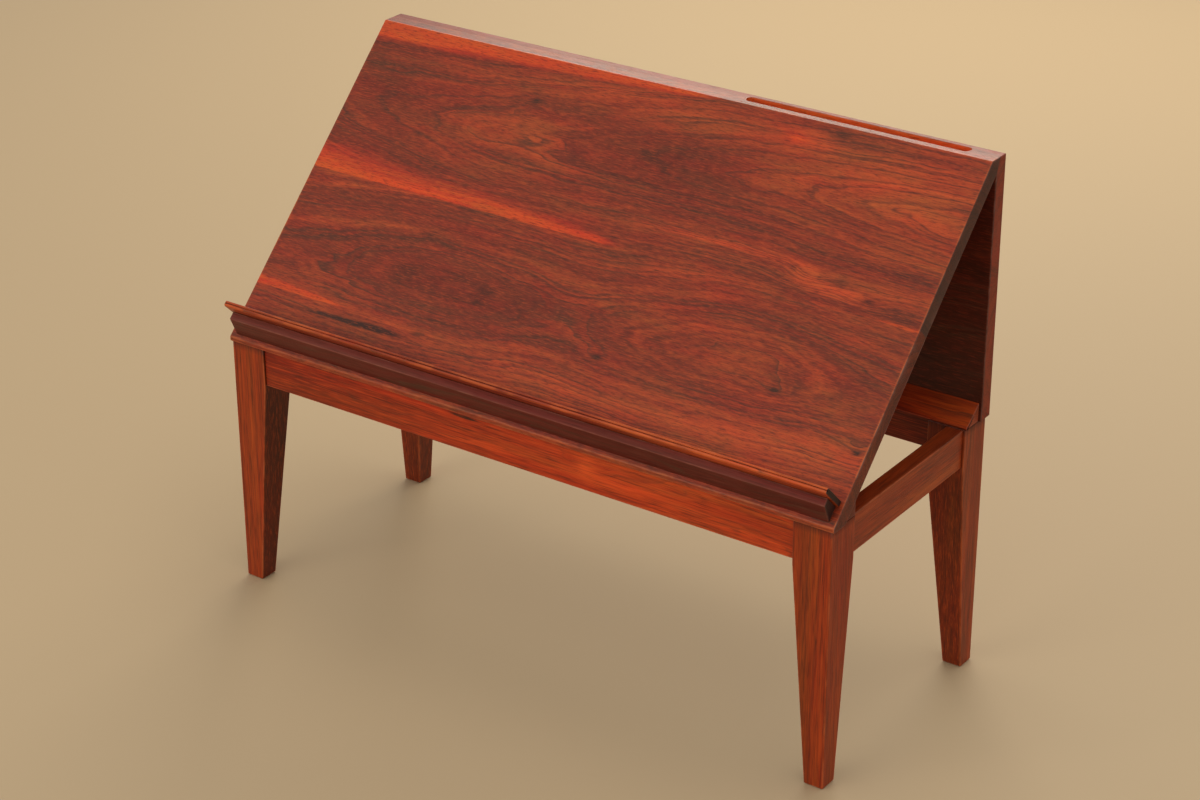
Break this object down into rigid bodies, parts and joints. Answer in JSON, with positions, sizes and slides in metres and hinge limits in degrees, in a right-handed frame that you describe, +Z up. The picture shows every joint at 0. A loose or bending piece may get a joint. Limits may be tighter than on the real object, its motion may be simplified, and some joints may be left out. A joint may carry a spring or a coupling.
{
  "type": "slant-top bookstand",
  "caption": "Low wooden bookstand with a slanted reading board, a moulded book ledge, a pencil groove in the flat top and square tapered legs.",
  "frame": {"origin": "on the floor, in the middle of the overall box", "axes": "+X to the reader's right, along the width, +Y away from the reader, towards the back panel, +Z up"},
  "size_m": [0.7674, 0.3218, 0.5812],
  "materials": {
    "walnut_base": "satin oiled walnut",
    "walnut_board": "satin oiled walnut",
    "walnut_panel": "satin oiled walnut",
    "walnut_ledge": "satin oiled walnut",
    "walnut_cleat": "satin oiled walnut",
    "birch_dowel": "plain",
    "steel_screw": "zinc plated"
  },
  "bodies": {
    "root": {"leg_front_left": "walnut_base", "leg_front_right": "walnut_base", "leg_back_left": "walnut_base", "leg_back_right": "walnut_base", "apron_front": "walnut_base", "apron_back": "walnut_base", "apron_left": "walnut_base", "apron_right": "walnut_base", "board_lower_plank": "walnut_board", "board_upper_plank": "walnut_board", "panel_lower_plank": "walnut_panel", "panel_upper_plank": "walnut_panel", "ledge_shelf": "walnut_ledge", "ledge_moulding": "walnut_ledge", "front_cleat": "walnut_cleat", "back_cleat": "walnut_cleat", "dowel_front_left_leg_front_apron_upper": "birch_dowel", "dowel_front_left_leg_front_apron_lower": "birch_dowel", "dowel_front_left_leg_left_apron_upper": "birch_dowel", "dowel_front_left_leg_left_apron_lower": "birch_dowel", "dowel_front_right_leg_front_apron_upper": "birch_dowel", "dowel_front_right_leg_front_apron_lower": "birch_dowel", "dowel_front_right_leg_right_apron_upper": "birch_dowel", "dowel_front_right_leg_right_apron_lower": "birch_dowel", "dowel_back_left_leg_back_apron_upper": "birch_dowel", "dowel_back_left_leg_back_apron_lower": "birch_dowel", "dowel_back_left_leg_left_apron_upper": "birch_dowel", "dowel_back_left_leg_left_apron_lower": "birch_dowel", "dowel_back_right_leg_back_apron_upper": "birch_dowel", "dowel_back_right_leg_back_apron_lower": "birch_dowel", "dowel_back_right_leg_right_apron_upper": "birch_dowel", "dowel_back_right_leg_right_apron_lower": "birch_dowel", "top_dowel_front_left": "birch_dowel", "top_dowel_front_right": "birch_dowel", "top_dowel_back_left": "birch_dowel", "top_dowel_back_right": "birch_dowel", "ledge_screw_1": "steel_screw", "ledge_screw_2": "steel_screw", "ledge_screw_3": "steel_screw", "ledge_screw_4": "steel_screw"}
  },
  "joints": []
}
